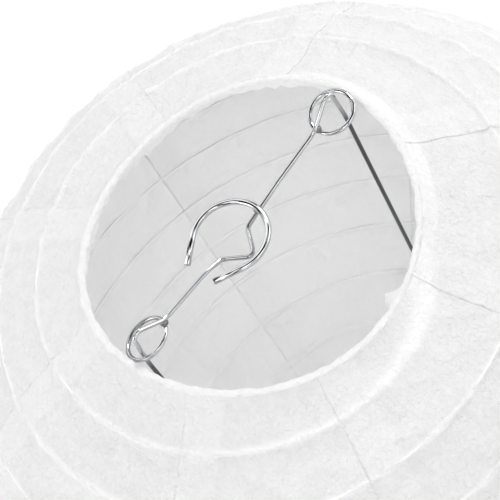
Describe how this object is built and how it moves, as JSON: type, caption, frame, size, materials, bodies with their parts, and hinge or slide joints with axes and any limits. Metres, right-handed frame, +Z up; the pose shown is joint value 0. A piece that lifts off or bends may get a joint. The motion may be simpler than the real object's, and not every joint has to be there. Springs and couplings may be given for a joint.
{
  "type": "hanging paper globe lantern",
  "caption": "Round white paper globe lantern on a spiral wire rib, held open by a sprung wire expander with a socket clip.",
  "frame": {"origin": "on the lantern's vertical axis, at the height of the centre line of the socket clip that it hangs from", "axes": "+Z up along the lantern's axis, +X along the expander's bridge away from the clip's mouth"},
  "size_m": [0.3, 0.3, 0.2561],
  "materials": {
    "paper": "matt white mulberry-fibre paper, translucent",
    "rib_wire": "thin white-coated spring wire",
    "hoop_wire": "drawn steel wire",
    "plated_wire": "bright nickel-plated steel wire"
  },
  "bodies": {
    "lantern": {"paper_gore_1": "paper", "paper_gore_2": "paper", "paper_gore_3": "paper", "paper_gore_4": "paper", "paper_gore_5": "paper", "paper_gore_6": "paper", "paper_gore_7": "paper", "paper_gore_8": "paper", "rib_coil": "rib_wire", "top_hoop": "hoop_wire", "expander_wire": "plated_wire", "socket_clip": "plated_wire", "ring_left": "plated_wire", "ring_right": "plated_wire", "weld_beads": "plated_wire"},
    "lower_hoop": {"bottom_hoop": "hoop_wire"}
  },
  "joints": [
    {"name": "bellows_collapse", "type": "slide", "parent": "lantern", "child": "lower_hoop", "axis": [0, 0, 1], "range_m": [0, 0.219], "deforming": ["paper_gore_1", "paper_gore_2", "paper_gore_3", "paper_gore_4", "paper_gore_5", "paper_gore_6", "paper_gore_7", "paper_gore_8", "rib_coil", "expander_wire"]}
  ]
}
